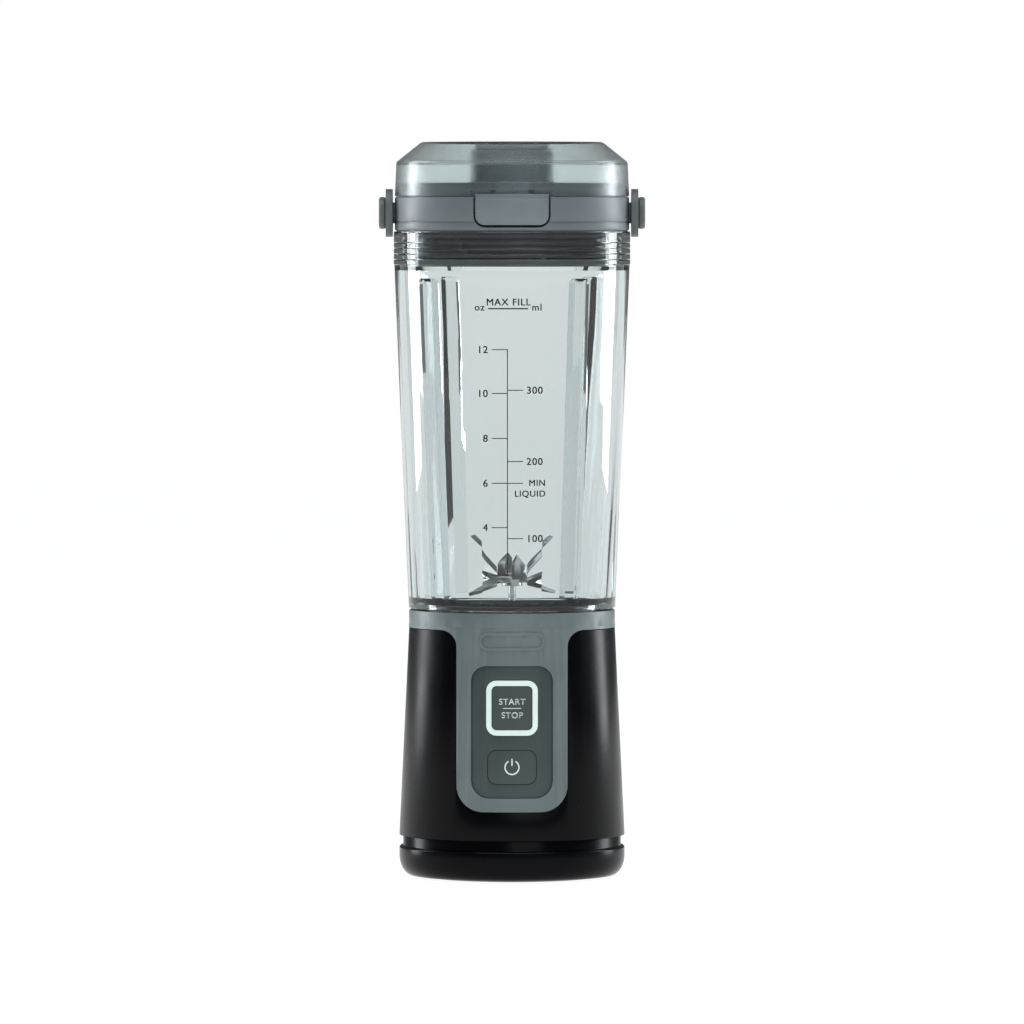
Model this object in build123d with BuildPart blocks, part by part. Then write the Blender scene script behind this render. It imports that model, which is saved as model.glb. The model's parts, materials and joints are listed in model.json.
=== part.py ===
import os
from math import cos, radians, sin

from build123d import *

# A cordless personal blender: battery base, clear vessel, sip lid and carry handle.
# Frame: millimetres, +Z up, origin on the vertical axis at the resting surface, front at -Y.

# ---- Driving dimensions -------------------------------------------------------------------------
overall_height = 276.0
gap = 0.3  # between pieces of different bodies
close_gap = 0.2  # round buttons and small moving trim
running_gap = 0.05  # radial, on shafts and pins

# Base
pad_radius = 33.5
pad_thickness = 1.6
pad_recess_gap = 0.2
cap_flat_radius = 37.4
cap_radius = 42.4
cap_underside = 0.5
cap_bulge_radius, cap_bulge_level = 40.95, 3.6  # a point on the arc between underside and side
cap_side_low = 8.2
cap_top = 11.8
cap_rim_chamfer = 0.6
cap_floor = 4.0
groove_radius = 41.0
spigot_radius = 39.6
spigot_top = 22.0
shell_low = 15.8
shell_high = 93.6
shell_foot_radius = 42.4
shell_head_radius = 38.7
wall = 2.2
collar_low = shell_high + gap
collar_high = 100.6
collar_inner_radius = 36.3

# Fascia, control panel and buttons, all curved to the shell
fascia_width = 41.4
fascia_bottom = 26.6
fascia_corner = 9.8
fascia_shoulder = 6.0
fascia_proud = 0.15
panel_width = 30.2
panel_low = 31.8
panel_high = 80.8
panel_top_corner = 5.6
panel_bottom_corner = 6.5
panel_sunk = 0.45
ring_width, ring_height, ring_corner = 19.2, 20.4, 3.8
start_width, start_height, start_corner = 15.3, 16.5, 1.9
start_level = 65.3
power_width, power_height, power_corner = 18.0, 12.5, 3.4
power_level = 43.3
button_travel = 1.0

# Inside the base
deck_radius = 34.0
lower_deck_low, lower_deck_high = 12.5, 15.0
upper_deck_low, upper_deck_high = 84.2, 86.7
post_radius = 2.6
post_places = [(31.0, -2.0), (-31.0, -2.0), (20.0, -24.0), (-20.0, -24.0)]
cell_radius, cell_length, cell_low = 9.2, 65.0, 16.2
cell_places = [(17.3, 17.3), (-17.3, 17.3)]
motor_radius, motor_wall = 13.85, 1.2
motor_low, motor_high = 53.0, 84.2
magnet_inner_radius, magnet_low, magnet_length, magnet_span = 10.4, 58.0, 20.0, 24.0
rotor_radius, rotor_low, rotor_high = 9.4, 58.5, 77.5
rotor_slots, rotor_slot_depth, rotor_slot_width = 5, 2.5, 1.6
end_cap_neck, end_cap_thickness = 2.0, 2.0
shaft_clearance_radius = 2.6
lead_y, lead_level = -6.0, 38.0
board_thickness = 1.6
board_width, board_low, board_high = 26.0, 30.0, 80.0
board_front = -31.0
screw_radius, screw_head_radius, screw_head_height = 1.5, 2.6, 1.7
base_screw_ring, platform_screw_ring, motor_screw_ring = 24.0, 25.0, 8.0
platform_screw_tip = 96.0

# Charging port at the back
port_level = 30.0
port_width, port_height = 14.4, 8.4
socket_width, socket_height, socket_depth = 8.9, 3.2, 7.3
charge_face, charge_top = 30.4, 38.0

# Blade platform, seal and drive
platform_low, platform_flange_high, platform_high = 86.7, 89.4, 102.6
platform_radius = 31.2
platform_flange_radius = 36.0
platform_wall = 2.5
boss_radius = 7.5
seal_thickness = 1.8
shaft_radius = 1.95
shaft_low, shaft_high = 50.6, 115.8
bearing_radius, bearing_height = 5.0, 4.0
bearing_shelf_low, bearing_shelf_high = 92.0, 96.0
shaft_seal_low, shaft_seal_high = 99.2, 102.9
blade_disc_radius = 5.6
hub_radius, hub_height = 3.4, 1.4
nut_radius, nut_height = 4.4, 2.4
blade_level, blade_thickness = 110.6, 1.2
lower_bend, upper_bend = 8.2, 5.4

# Vessel
vessel_low, flange_low = 91.5, 101.0
neck_radius, neck_bore = 35.7, 31.9
vessel_foot_radius, vessel_head_radius = 38.9, 44.2
vessel_taper_high, vessel_high = 229.9, 242.5
vessel_rim_radius = 44.4
bore_foot_radius, bore_head_radius = 34.4, 40.5
bore_foot_level, bore_head_level = 105.3, 228.0
rim_bore = 41.4
rib_count, rib_width, rib_depth, rib_high = 4, 6.4, 4.0, 225.0
rib_turn = -51.0

# Lid
skirt_low, skirt_radius, skirt_bore = 230.0, 41.0, 38.4
lid_low, lid_high, lid_radius = 242.8, 255.4, 44.0
lid_line = 246.0
deck_low, deck_high = 251.8, 254.4
gasket_radius = 41.2
spout_width, spout_depth, spout_wall, spout_high = 30.0, 17.0, 2.2, 271.5
spout_place = -24.5
cover_low, cover_shoulder, cover_flat_radius = 255.7, 268.6, 34.0
cover_foot_radius, cover_shoulder_radius = 44.0, 43.4
cover_wall = 2.0
notch_width, notch_high = 30.4, 258.0
hinge_y, hinge_z, hinge_radius, hinge_pin_radius = 42.2, 257.5, 2.4, 1.2
knuckle_half, ear_half = 8.4, 13.7
hinge_reach_y, rear_cut_y, rear_cut_high = 46.0, 38.5, 261.5
web_high, catch_half, catch_low, catch_high = 262.5, 8.0, 259.2, 260.4
catch_front, catch_back = -42.4, -41.1
rim_inner_radius = 40.6
latch_width, latch_low, latch_high, latch_corner = 27.4, 244.9, 256.5, 3.4
latch_pin_y, latch_pin_z, latch_pin_radius = -39.3, 250.2, 0.9
pocket_width, pocket_low, pocket_back, pocket_wall = 28.4, 244.4, -37.2, 1.6
tongue_half, tongue_front, tongue_back, tongue_high = 6.0, -40.8, -39.6, 261.0
latch_inner_radius, latch_ear_radius = 41.9, 1.7

# Carry handle
pivot_level, pivot_radius, pivot_disc_radius = 249.4, 4.0, 9.0
handle_inner, handle_outer, handle_height = 44.8, 47.4, 8.0
handle_straight, handle_bow = 14.0, 2.5
cap_disc_radius, cap_disc_out = 6.0, 50.0
boss_root = 40.0

front_reach = 60.0
shell_taper = (shell_foot_radius - shell_head_radius) / (shell_high - shell_low)
vessel_taper = (vessel_head_radius - vessel_foot_radius) / (vessel_taper_high - flange_low)
bore_taper = (bore_head_radius - bore_foot_radius) / (bore_head_level - bore_foot_level)

os.makedirs("parts", exist_ok=True)


# ---- Shapes that repeat -------------------------------------------------------------------------
def save(builder, name):
    """Names a finished piece and writes its file."""
    builder.part.label = name
    export_step(builder.part, f"parts/{name}.step")


def turned(points, mode=Mode.ADD):
    """Turns a closed outline of (radius, height) points about the vertical axis."""
    with BuildSketch(Plane.XZ) as profile:
        with BuildLine():
            Polyline(*points, close=True)
        make_face()
    revolve(profile.sketch, axis=Axis.Z, mode=mode)


def ring(inner, outer, low, high, mode=Mode.ADD):
    """A plain ring or disc about the vertical axis."""
    turned([(inner, low), (outer, low), (outer, high), (inner, high)], mode)


def posts(places, radius, low, high, mode=Mode.ADD):
    """Upright round posts or holes at the given places."""
    with BuildSketch(Plane.XY.offset(low)) as profile:
        with Locations(*places):
            Circle(radius)
    extrude(profile.sketch, amount=high - low, mode=mode)


def cross_rod(radius, y, z, low_x, high_x, mode=Mode.ADD):
    """A rod or hole that lies across the object, along X."""
    with BuildSketch(Plane.YZ.offset(low_x)) as profile:
        with Locations((y, z)):
            Circle(radius)
    extrude(profile.sketch, amount=high_x - low_x, mode=mode)


def block(low, high, mode=Mode.ADD):
    """A square-cornered block between two opposite corners."""
    with BuildSketch(Plane.XY.offset(low[2])) as profile:
        with Locations(((low[0] + high[0]) / 2, (low[1] + high[1]) / 2)):
            Rectangle(high[0] - low[0], high[1] - low[1])
    extrude(profile.sketch, amount=high[2] - low[2], mode=mode)


def shell_radius(height):
    """The body's outer radius at a height."""
    return shell_foot_radius - (height - shell_low) * shell_taper


def skin(low, high, proud, thickness, mode=Mode.ADD):
    """A tapered wall that follows the body's outside, standing proud of it by a distance."""
    foot, head = shell_radius(low) + proud, shell_radius(high) + proud
    turned([(foot - thickness, low), (foot, low), (head, high), (head - thickness, high)], mode)


def facing(width, low, high, top_corner, bottom_corner, reach, mode):
    """Cuts or keeps what lies behind a rounded window on the front, or on the back if reach < 0."""
    with BuildSketch(Plane.XZ) as profile:
        with Locations((0, (low + high) / 2)):
            Rectangle(width, high - low)
        fillet(profile.vertices().group_by(Axis.Y)[-1], top_corner)
        fillet([v for v in profile.vertices() if v.Y < low + 0.01], bottom_corner)
    extrude(profile.sketch, amount=reach, mode=mode)


def tee(grow, mode):
    """The fascia's outline: a panel with rounded feet that flares into the collar."""
    half, band = fascia_width / 2 + grow, collar_low - grow
    foot, corner, shoulder = fascia_bottom - grow, fascia_corner + grow, fascia_shoulder - grow
    edge = front_reach
    with BuildSketch(Plane.XZ) as profile:
        with BuildLine():
            Polyline(
                (-edge, band), (-half, band), (-half, foot), (half, foot), (half, band), (edge, band),
                (edge, collar_high), (-edge, collar_high), close=True,
            )
        make_face()
        fillet(profile.vertices().group_by(Axis.Y)[0], corner)
        fillet([v for v in profile.vertices() if abs(v.Y - band) < 1 and abs(v.X) < edge - 1], shoulder)
    extrude(profile.sketch, amount=front_reach, mode=mode)


# ---- Base: outside ------------------------------------------------------------------------------
with BuildPart() as foot_pad:
    ring(0, pad_radius, 0, pad_thickness)
    fillet(foot_pad.edges().group_by(Axis.Z)[0], 0.5)
save(foot_pad, "foot_pad")

with BuildPart() as base_cap:
    recess = pad_radius + pad_recess_gap
    with BuildSketch(Plane.XZ):
        with BuildLine():
            Polyline((0, pad_thickness), (recess, pad_thickness), (recess, cap_underside),
                     (cap_flat_radius, cap_underside))
            ThreePointArc((cap_flat_radius, cap_underside), (cap_bulge_radius, cap_bulge_level),
                          (cap_radius, cap_side_low))
            Polyline((cap_radius, cap_side_low), (cap_radius, cap_top - 0.7),
                     (cap_radius - cap_rim_chamfer, cap_top),
                     (groove_radius, cap_top), (groove_radius, shell_low), (spigot_radius, shell_low),
                     (spigot_radius, spigot_top), (spigot_radius - wall, spigot_top),
                     (spigot_radius - wall, cap_floor), (0, cap_floor), (0, pad_thickness))
        make_face()
    revolve(axis=Axis.Z)
    with PolarLocations(base_screw_ring, 3):
        with Locations((0, 0, pad_thickness)):
            Cylinder(screw_radius + 0.15, 3 * cap_floor, mode=Mode.SUBTRACT)
            Cylinder(screw_head_radius + 0.15, 2 * (screw_head_height - 0.3), mode=Mode.SUBTRACT)
save(base_cap, "base_cap")

with BuildPart() as body_shell:
    skin(shell_low, shell_high, 0, wall)
    tee(0.1, Mode.SUBTRACT)
    facing(port_width + 2 * gap, port_level - port_height / 2 - gap - 0.1,
           port_level + port_height / 2 + gap, 1.6, 1.6, -front_reach, Mode.SUBTRACT)
save(body_shell, "body_shell")

with BuildPart() as fascia:
    skin(fascia_bottom - 1, shell_high + 5, fascia_proud, wall)
    tee(0, Mode.INTERSECT)
    block((-front_reach, -front_reach, collar_low), (front_reach, front_reach, overall_height),
          Mode.SUBTRACT)
    ring(collar_inner_radius, shell_head_radius, collar_low, collar_high)
    ring(0, collar_inner_radius, shell_high - 5, collar_high, Mode.SUBTRACT)
    fillet(fascia.edges().filter_by(GeomType.CIRCLE).group_by(Axis.Z)[-1][-1], 0.8)
    facing(panel_width + 0.2, panel_low - 0.1, panel_high + 0.1, panel_top_corner,
           panel_bottom_corner, front_reach, Mode.SUBTRACT)
save(fascia, "fascia")

with BuildPart() as control_panel:
    skin(panel_low, panel_high, fascia_proud - panel_sunk, 1.8)
    facing(panel_width, panel_low, panel_high, panel_top_corner, panel_bottom_corner,
           front_reach, Mode.INTERSECT)
    facing(ring_width, start_level - ring_height / 2, start_level + ring_height / 2, ring_corner,
           ring_corner, front_reach, Mode.SUBTRACT)
    facing(power_width + 2 * close_gap, power_level - power_height / 2 - close_gap,
           power_level + power_height / 2 + close_gap, power_corner, power_corner,
           front_reach, Mode.SUBTRACT)
save(control_panel, "control_panel")

with BuildPart() as light_ring:
    skin(start_level - ring_height / 2, start_level + ring_height / 2, fascia_proud, 3.0)
    facing(ring_width, start_level - ring_height / 2, start_level + ring_height / 2, ring_corner,
           ring_corner, front_reach, Mode.INTERSECT)
    facing(start_width, start_level - start_height / 2, start_level + start_height / 2,
           start_corner, start_corner, front_reach, Mode.SUBTRACT)
save(light_ring, "light_ring")


def push_button(width, height, corner, level, proud, thickness):
    """A button curved to the shell, with a stem that reaches back to its switch."""
    skin(level - height, level + height, proud, thickness)
    facing(width, level - height / 2, level + height / 2, corner, corner, front_reach, Mode.INTERSECT)
    front = shell_radius(level) + proud - thickness
    with BuildSketch(Plane.XZ.offset(switch_front + button_travel + gap)) as profile:
        with Locations((0, level)):
            Circle(2.0)
    extrude(profile.sketch, amount=front + 0.6 - switch_front - button_travel - gap)


switch_front = -board_front + board_thickness + 2.0

with BuildPart() as start_button:
    push_button(start_width - 2 * close_gap, start_height - 2 * close_gap, start_corner - close_gap,
                start_level, fascia_proud - 0.1, 2.4)
save(start_button, "start_button")

with BuildPart() as power_button:
    push_button(power_width, power_height, power_corner, power_level, fascia_proud - 0.25, 2.4)
save(power_button, "power_button")

with BuildPart() as port_flap:
    flap_low, flap_high = port_level - port_height / 2, port_level + port_height / 2
    skin(flap_low, flap_high, 0, 1.4)
    facing(port_width, flap_low, flap_high, 1.4, 1.4, -front_reach, Mode.INTERSECT)
save(port_flap, "port_flap")

# ---- Base: inside -------------------------------------------------------------------------------
with BuildPart() as chassis:
    ring(0, deck_radius, lower_deck_low, lower_deck_high)
    ring(0, deck_radius, upper_deck_low, upper_deck_high)
    posts(post_places, post_radius, lower_deck_high, upper_deck_low)
    with PolarLocations(base_screw_ring, 3):
        with Locations((0, 0, cap_floor)):
            Cylinder(3.2, lower_deck_low - cap_floor, align=(Align.CENTER, Align.CENTER, Align.MIN))
            Cylinder(screw_radius, 3 * cap_floor, align=(Align.CENTER, Align.CENTER, Align.MIN),
                     mode=Mode.SUBTRACT)
    with PolarLocations(platform_screw_ring, 3, start_angle=30):
        with Locations((0, 0, upper_deck_low)):
            Cylinder(screw_radius, 4 * wall, mode=Mode.SUBTRACT)
    with PolarLocations(motor_screw_ring, 2):
        with Locations((0, 0, upper_deck_low)):
            Cylinder(screw_radius, 4 * wall, mode=Mode.SUBTRACT)
    posts([(0, 0)], 4.0, upper_deck_low, upper_deck_high, Mode.SUBTRACT)
    for side in (-1, 1):
        front, back = sorted((side * 10.0, side * 13.0)), sorted((side * 8.0, side * 11.0))
        block((front[0], board_front, lower_deck_high), (front[1], board_front + 2.5, upper_deck_low))
        block((back[0], charge_face - 2.0, lower_deck_high), (back[1], charge_face, charge_top))
save(chassis, "chassis")

with BuildPart() as motor_can:
    turned([(shaft_clearance_radius, motor_high - 2), (motor_radius - motor_wall, motor_high - 2),
            (motor_radius - motor_wall, motor_low), (motor_radius, motor_low),
            (motor_radius, motor_high), (shaft_clearance_radius, motor_high)])
    with PolarLocations(motor_screw_ring, 2):
        with Locations((0, 0, motor_high)):
            Cylinder(screw_radius, 5, mode=Mode.SUBTRACT)
save(motor_can, "motor_can")

with BuildPart() as motor_magnets:
    for side in (0, 180):
        with BuildSketch(Plane.XY.offset(magnet_low)):
            Circle(motor_radius - motor_wall)
            Circle(magnet_inner_radius, mode=Mode.SUBTRACT)
            with Locations(Rotation(0, 0, side)):
                with Locations((0, 20)):
                    Rectangle(magnet_span, magnet_span, mode=Mode.INTERSECT)
        extrude(amount=magnet_length)
save(motor_magnets, "motor_magnets")

with BuildPart() as motor_end_cap:
    turned([(bearing_radius, motor_low - bearing_height),
            (bearing_radius + end_cap_neck, motor_low - bearing_height),
            (bearing_radius + end_cap_neck, motor_low - end_cap_thickness),
            (motor_radius, motor_low - end_cap_thickness),
            (motor_radius, motor_low), (bearing_radius, motor_low)])
save(motor_end_cap, "motor_end_cap")


def bearing(name, low):
    """A sealed ball bearing that the shaft turns in."""
    with BuildPart() as piece:
        ring(shaft_radius + running_gap, bearing_radius, low, low + bearing_height)
        chamfer(piece.edges().filter_by(GeomType.CIRCLE).group_by(SortBy.RADIUS)[-1], 0.3)
    save(piece, name)


bearing("lower_bearing", motor_low - bearing_height)
bearing("upper_bearing", bearing_shelf_low)

with BuildPart() as shaft_seal:
    turned([(shaft_radius + running_gap, shaft_seal_low), (bearing_radius, shaft_seal_low),
            (bearing_radius, shaft_seal_high), (shaft_radius + 1.2, shaft_seal_high),
            (shaft_radius + running_gap, shaft_seal_high - 0.9)])
save(shaft_seal, "shaft_seal")

with BuildPart() as battery_cells:
    posts(cell_places, cell_radius, cell_low, cell_low + cell_length)
    fillet(battery_cells.edges().filter_by(GeomType.CIRCLE), 0.8)
save(battery_cells, "battery_cells")

with BuildPart() as battery_strips:
    strip_top = cell_low + cell_length
    block((-22, 14.5, strip_top), (22, 21, strip_top + 0.3))
    for side in (-1, 1):
        centre = side * cell_places[0][0]
        block((centre - 4, 13.5, cell_low - 0.3), (centre + 4, 21, cell_low))
save(battery_strips, "battery_strips")

with BuildPart() as control_board:
    block((-board_width / 2, board_front - board_thickness, board_low),
          (board_width / 2, board_front, board_high))
save(control_board, "control_board")

board_face = board_front - board_thickness
with BuildPart() as tactile_switches:
    for level in (start_level, power_level):
        block((-3, -switch_front, level - 3), (3, board_face, level + 3))
save(tactile_switches, "tactile_switches")

with BuildPart() as status_leds:
    for x in (-8.6, 8.6):
        for level in (start_level - 8, start_level + 8):
            block((x - 1, board_face - 1, level - 1), (x + 1, board_face, level + 1))
save(status_leds, "status_leds")

with BuildPart() as charge_board:
    socket_low = port_level - socket_height / 2
    block((-11, charge_face, socket_low - 10.6), (11, charge_face + board_thickness, charge_top))
save(charge_board, "charge_board")

with BuildPart() as charge_socket:
    socket_back = charge_face + board_thickness
    block((-socket_width / 2, socket_back, socket_low),
          (socket_width / 2, socket_back + socket_depth, socket_low + socket_height))
    fillet(charge_socket.edges().filter_by(Axis.Y), 1.3)
    block((-socket_width / 2 + 0.4, socket_back + 1, socket_low + 0.4),
          (socket_width / 2 - 0.4, socket_back + socket_depth, socket_low + socket_height - 0.4),
          Mode.SUBTRACT)
    block((-3.2, socket_back, port_level - 0.35), (3.2, socket_back + 5.6, port_level + 0.35))
save(charge_socket, "charge_socket")


def screws(name, places, head_low, tip, head_up=False):
    """Pan-head screws on a ring, heads down unless head_up."""
    with BuildPart() as piece:
        low, high = head_low, head_low + screw_head_height - 0.3
        posts(places, screw_head_radius, low, high)
        shank_low, shank_high = (tip, low) if head_up else (high, tip)
        posts(places, screw_radius, shank_low, shank_high)
        rim = piece.edges().group_by(Axis.Z)[-1 if head_up else 0]
        chamfer(rim, 0.3)
        recess_low = high - 0.7 if head_up else low
        posts(places, 0.9, recess_low, recess_low + 0.7, Mode.SUBTRACT)
    save(piece, name)


def ring_places(radius, count, start=0):
    """Evenly spaced places on a circle."""
    turns = [radians(start + 360 * step / count) for step in range(count)]
    return [(radius * cos(turn), radius * sin(turn)) for turn in turns]


screws("base_screws", ring_places(base_screw_ring, 3), pad_thickness, lower_deck_high)
screws("platform_screws", ring_places(platform_screw_ring, 3, 30), upper_deck_low - 1.4,
       platform_screw_tip)
screws("motor_screws", ring_places(motor_screw_ring, 2), upper_deck_high, motor_high - 3.5, True)

with BuildPart() as motor_leads:
    for side in (-1, 1):
        with BuildLine() as route:
            FilletPolyline((side * 8.5, board_front, lead_level), (side * 8.5, lead_y, lead_level),
                           (side * 8.5, lead_y, motor_low - end_cap_thickness), radius=5.0)
        with BuildSketch(Plane(origin=route.line @ 0, z_dir=route.line % 0)):
            Circle(0.8)
        sweep(path=route.line)
save(motor_leads, "motor_leads")

# ---- Blade platform and seal --------------------------------------------------------------------
with BuildPart() as blade_platform:
    inside, ceiling = platform_radius - platform_wall, platform_high - platform_wall
    turned([(inside, platform_low), (platform_flange_radius, platform_low),
            (platform_flange_radius, platform_flange_high), (platform_radius, platform_flange_high),
            (platform_radius, platform_high - 0.8), (platform_radius - 0.8, platform_high),
            (boss_radius + 1.5, platform_high), (boss_radius, platform_high + 0.6),
            (bearing_radius, platform_high + 0.6), (bearing_radius, shaft_seal_low),
            (shaft_clearance_radius, shaft_seal_low), (shaft_clearance_radius, bearing_shelf_high),
            (bearing_radius, bearing_shelf_high), (bearing_radius, bearing_shelf_low),
            (boss_radius, bearing_shelf_low),
            (boss_radius, ceiling), (inside, ceiling)])
    posts(ring_places(platform_screw_ring, 3, 30), 4.2, platform_low, ceiling + 0.4)
    posts(ring_places(platform_screw_ring, 3, 30), screw_radius, platform_low,
          platform_screw_tip, Mode.SUBTRACT)
save(blade_platform, "blade_platform")

with BuildPart() as vessel_seal:
    ring(platform_radius + gap, neck_radius + 0.1, platform_flange_high + 0.2, vessel_low - gap)
    fillet(vessel_seal.edges(), 0.4)
save(vessel_seal, "vessel_seal")

# ---- Drive train --------------------------------------------------------------------------------
with BuildPart() as drive_shaft:
    ring(0, shaft_radius, shaft_low, shaft_high)
    chamfer(drive_shaft.edges().filter_by(GeomType.CIRCLE), 0.3)
save(drive_shaft, "drive_shaft")

with BuildPart() as rotor:
    ring(shaft_radius, rotor_radius, rotor_low, rotor_high)
    with BuildSketch(Plane.XY.offset(rotor_low)):
        with PolarLocations(rotor_radius, rotor_slots):
            Rectangle(2 * rotor_slot_depth, rotor_slot_width)
    extrude(amount=rotor_high - rotor_low, mode=Mode.SUBTRACT)
save(rotor, "rotor")

with BuildPart() as blade_hub:
    ring(shaft_radius, hub_radius, blade_level - hub_height, blade_level)
save(blade_hub, "blade_hub")


def wing(turn, tilt, length, root, tip, low, reach):
    """A blade wing: a tapered plate bent up or down from the blade's middle."""
    across, rise = cos(radians(tilt)), sin(radians(tilt))
    east, north = cos(radians(turn)), sin(radians(turn))
    bend = Plane(origin=(reach * east, reach * north, low),
                 x_dir=(east * across, north * across, rise),
                 z_dir=(-east * rise, -north * rise, across))
    start = 0 if tilt > 0 else -blade_thickness
    with BuildSketch(bend) as profile:
        with BuildLine():
            Polyline((start, -root / 2), (length - tip, -root / 2 + 0.4), (length, -root / 2 + 1.2),
                     (length - tip, root / 4), (start, root / 2), close=True)
        make_face()
    extrude(profile.sketch, amount=blade_thickness)


def blade(name, low, reach, wings):
    """A stamped blade: bars that cross on the shaft, with wings bent up or down at their ends."""
    with BuildPart() as piece:
        ring(0, blade_disc_radius, low, low + blade_thickness)
        for turn, tilt, length, root, tip in wings:
            with BuildSketch(Plane.XY.offset(low)) as bar:
                with Locations(Rotation(0, 0, turn)):
                    Rectangle(2 * reach, root)
            extrude(bar.sketch, amount=blade_thickness)
            wing(turn, tilt, length, root, tip, low, reach)
            wing(turn + 180, tilt, length, root, tip, low, reach)
        ring(0, shaft_radius, low - 30, low + 30, Mode.SUBTRACT)
    save(piece, name)


blade("lower_blade", blade_level, lower_bend, [(150, 30, 8.0, 6.4, 4.0), (222, -26, 11.0, 7.0, 5.0)])
blade("upper_blade", blade_level + blade_thickness, upper_bend,
      [(184, 60, 18.5, 7.0, 6.0), (112, 64, 10.0, 5.5, 4.0)])

with BuildPart() as blade_nut:
    nut_low = blade_level + 2 * blade_thickness
    with BuildSketch(Plane.XY.offset(nut_low)):
        RegularPolygon(nut_radius, 6)
        Circle(shaft_radius, mode=Mode.SUBTRACT)
    extrude(amount=nut_height)
save(blade_nut, "blade_nut")

# ---- Vessel -------------------------------------------------------------------------------------
with BuildPart() as vessel:
    turned([(neck_bore, vessel_low), (neck_radius, vessel_low), (neck_radius, flange_low),
            (vessel_foot_radius - 0.7, flange_low), (vessel_foot_radius, flange_low + 0.7),
            (vessel_head_radius, vessel_taper_high), (vessel_rim_radius, vessel_taper_high + 0.4),
            (vessel_rim_radius, vessel_high - 0.4), (vessel_rim_radius - 0.4, vessel_high),
            (rim_bore + 0.3, vessel_high), (rim_bore, vessel_high - 0.3),
            (rim_bore, bore_head_level + 1.5), (bore_head_radius, bore_head_level),
            (bore_foot_radius, bore_foot_level), (neck_bore, bore_foot_level - 2.5)])
    for step in range(rib_count):
        turn = radians(rib_turn - 90 + step * 360 / rib_count)
        side = Plane(origin=(0, 0, 0), x_dir=(cos(turn), sin(turn), 0), z_dir=(sin(turn), -cos(turn), 0))
        foot, head = bore_foot_radius, bore_foot_radius + (rib_high - bore_foot_level) * bore_taper
        with BuildSketch(side):
            with BuildLine():
                Polyline((foot - rib_depth, bore_foot_level), (foot + 1.6, bore_foot_level),
                         (head + 1.6, rib_high), (head - rib_depth + 1.2, rib_high),
                         (head - rib_depth, rib_high - 1.2), close=True)
            make_face()
        extrude(amount=rib_width / 2, both=True)
save(vessel, "vessel")

# ---- Lid ----------------------------------------------------------------------------------------
with BuildPart() as lid_gasket:
    ring(skirt_radius - 1.2, gasket_radius, skirt_low - 0.1, skirt_low + 2.2)
    fillet(lid_gasket.edges(), 0.3)
save(lid_gasket, "lid_gasket")

with BuildPart() as lid_base:
    turned([(skirt_bore, skirt_low), (skirt_radius - 1.5, skirt_low),
            (skirt_radius - 1.5, skirt_low + 2.4), (skirt_radius, skirt_low + 2.4),
            (skirt_radius, lid_low), (lid_radius - 0.4, lid_low), (lid_radius, lid_low + 0.4),
            (lid_radius, lid_line - 0.3), (lid_radius - 0.3, lid_line), (lid_radius, lid_line + 0.3),
            (lid_radius, lid_high - 0.4), (lid_radius - 0.4, lid_high),
            (rim_inner_radius, lid_high), (rim_inner_radius, deck_high), (0, deck_high), (0, deck_low), (skirt_bore, deck_low)])
    block((-pocket_width / 2 - pocket_wall, -40.5, pocket_low - 0.4),
          (pocket_width / 2 + pocket_wall, pocket_back + pocket_wall, deck_high))
    with BuildSketch(Plane.XY.offset(deck_high)):
        with Locations((0, spout_place)):
            RectangleRounded(spout_width, spout_depth, 7)
    extrude(amount=spout_high - deck_high)
    with BuildSketch(Plane.XY.offset(deck_low)):
        with Locations((0, spout_place)):
            RectangleRounded(spout_width - 2 * spout_wall, spout_depth - 2 * spout_wall, 5)
    extrude(amount=spout_high - deck_low, mode=Mode.SUBTRACT)
    for side in (-1, 1):
        near, far = sorted((side * (knuckle_half + gap), side * ear_half))
        cross_rod(hinge_radius, hinge_y, hinge_z, near, far)
        block((near, hinge_y - 2.2, deck_low), (far, hinge_y + 1.8, hinge_z))
        boss_near, boss_far = sorted((side * boss_root, side * (handle_outer - 0.4)))
        cross_rod(pivot_radius - running_gap, 0, pivot_level, boss_near, boss_far)
    block((-knuckle_half - gap, 38.6, hinge_z - hinge_radius - 0.5),
          (knuckle_half + gap, hinge_reach_y, hinge_z), Mode.SUBTRACT)
    block((-pocket_width / 2, -hinge_reach_y, pocket_low), (pocket_width / 2, pocket_back, hinge_z),
          Mode.SUBTRACT)
    cross_rod(hinge_pin_radius, hinge_y, hinge_z, -ear_half, ear_half, Mode.SUBTRACT)
    cross_rod(latch_pin_radius, latch_pin_y, latch_pin_z, -pocket_width / 2 - 1, pocket_width / 2 + 1,
              Mode.SUBTRACT)
save(lid_base, "lid_base")

with BuildPart() as cover_hinge_pin:
    cross_rod(hinge_pin_radius, hinge_y, hinge_z, -ear_half, ear_half)
save(cover_hinge_pin, "cover_hinge_pin")

with BuildPart() as sip_cover:
    turned([(cover_foot_radius - cover_wall, cover_low), (cover_foot_radius, cover_low),
            (cover_shoulder_radius, cover_shoulder), (cover_flat_radius, overall_height),
            (0, overall_height), (0, overall_height - cover_wall),
            (cover_flat_radius - 0.7, overall_height - cover_wall),
            (cover_shoulder_radius - cover_wall, cover_shoulder - 1.0)])
    block((-notch_width / 2, -hinge_reach_y, cover_low - 1), (notch_width / 2, -36.0, notch_high),
          Mode.SUBTRACT)
    block((-ear_half - 0.7, rear_cut_y, cover_low - 1),
          (ear_half + 0.7, hinge_reach_y, rear_cut_high), Mode.SUBTRACT)
    cross_rod(hinge_radius, hinge_y, hinge_z, -knuckle_half, knuckle_half)
    block((-knuckle_half, hinge_y - 2.0, hinge_z), (knuckle_half, hinge_y + 0.4, web_high))
    cross_rod(hinge_pin_radius + running_gap, hinge_y, hinge_z, -knuckle_half, knuckle_half,
              Mode.SUBTRACT)
    block((-catch_half, catch_front, catch_low), (catch_half, catch_back, catch_high))
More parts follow.
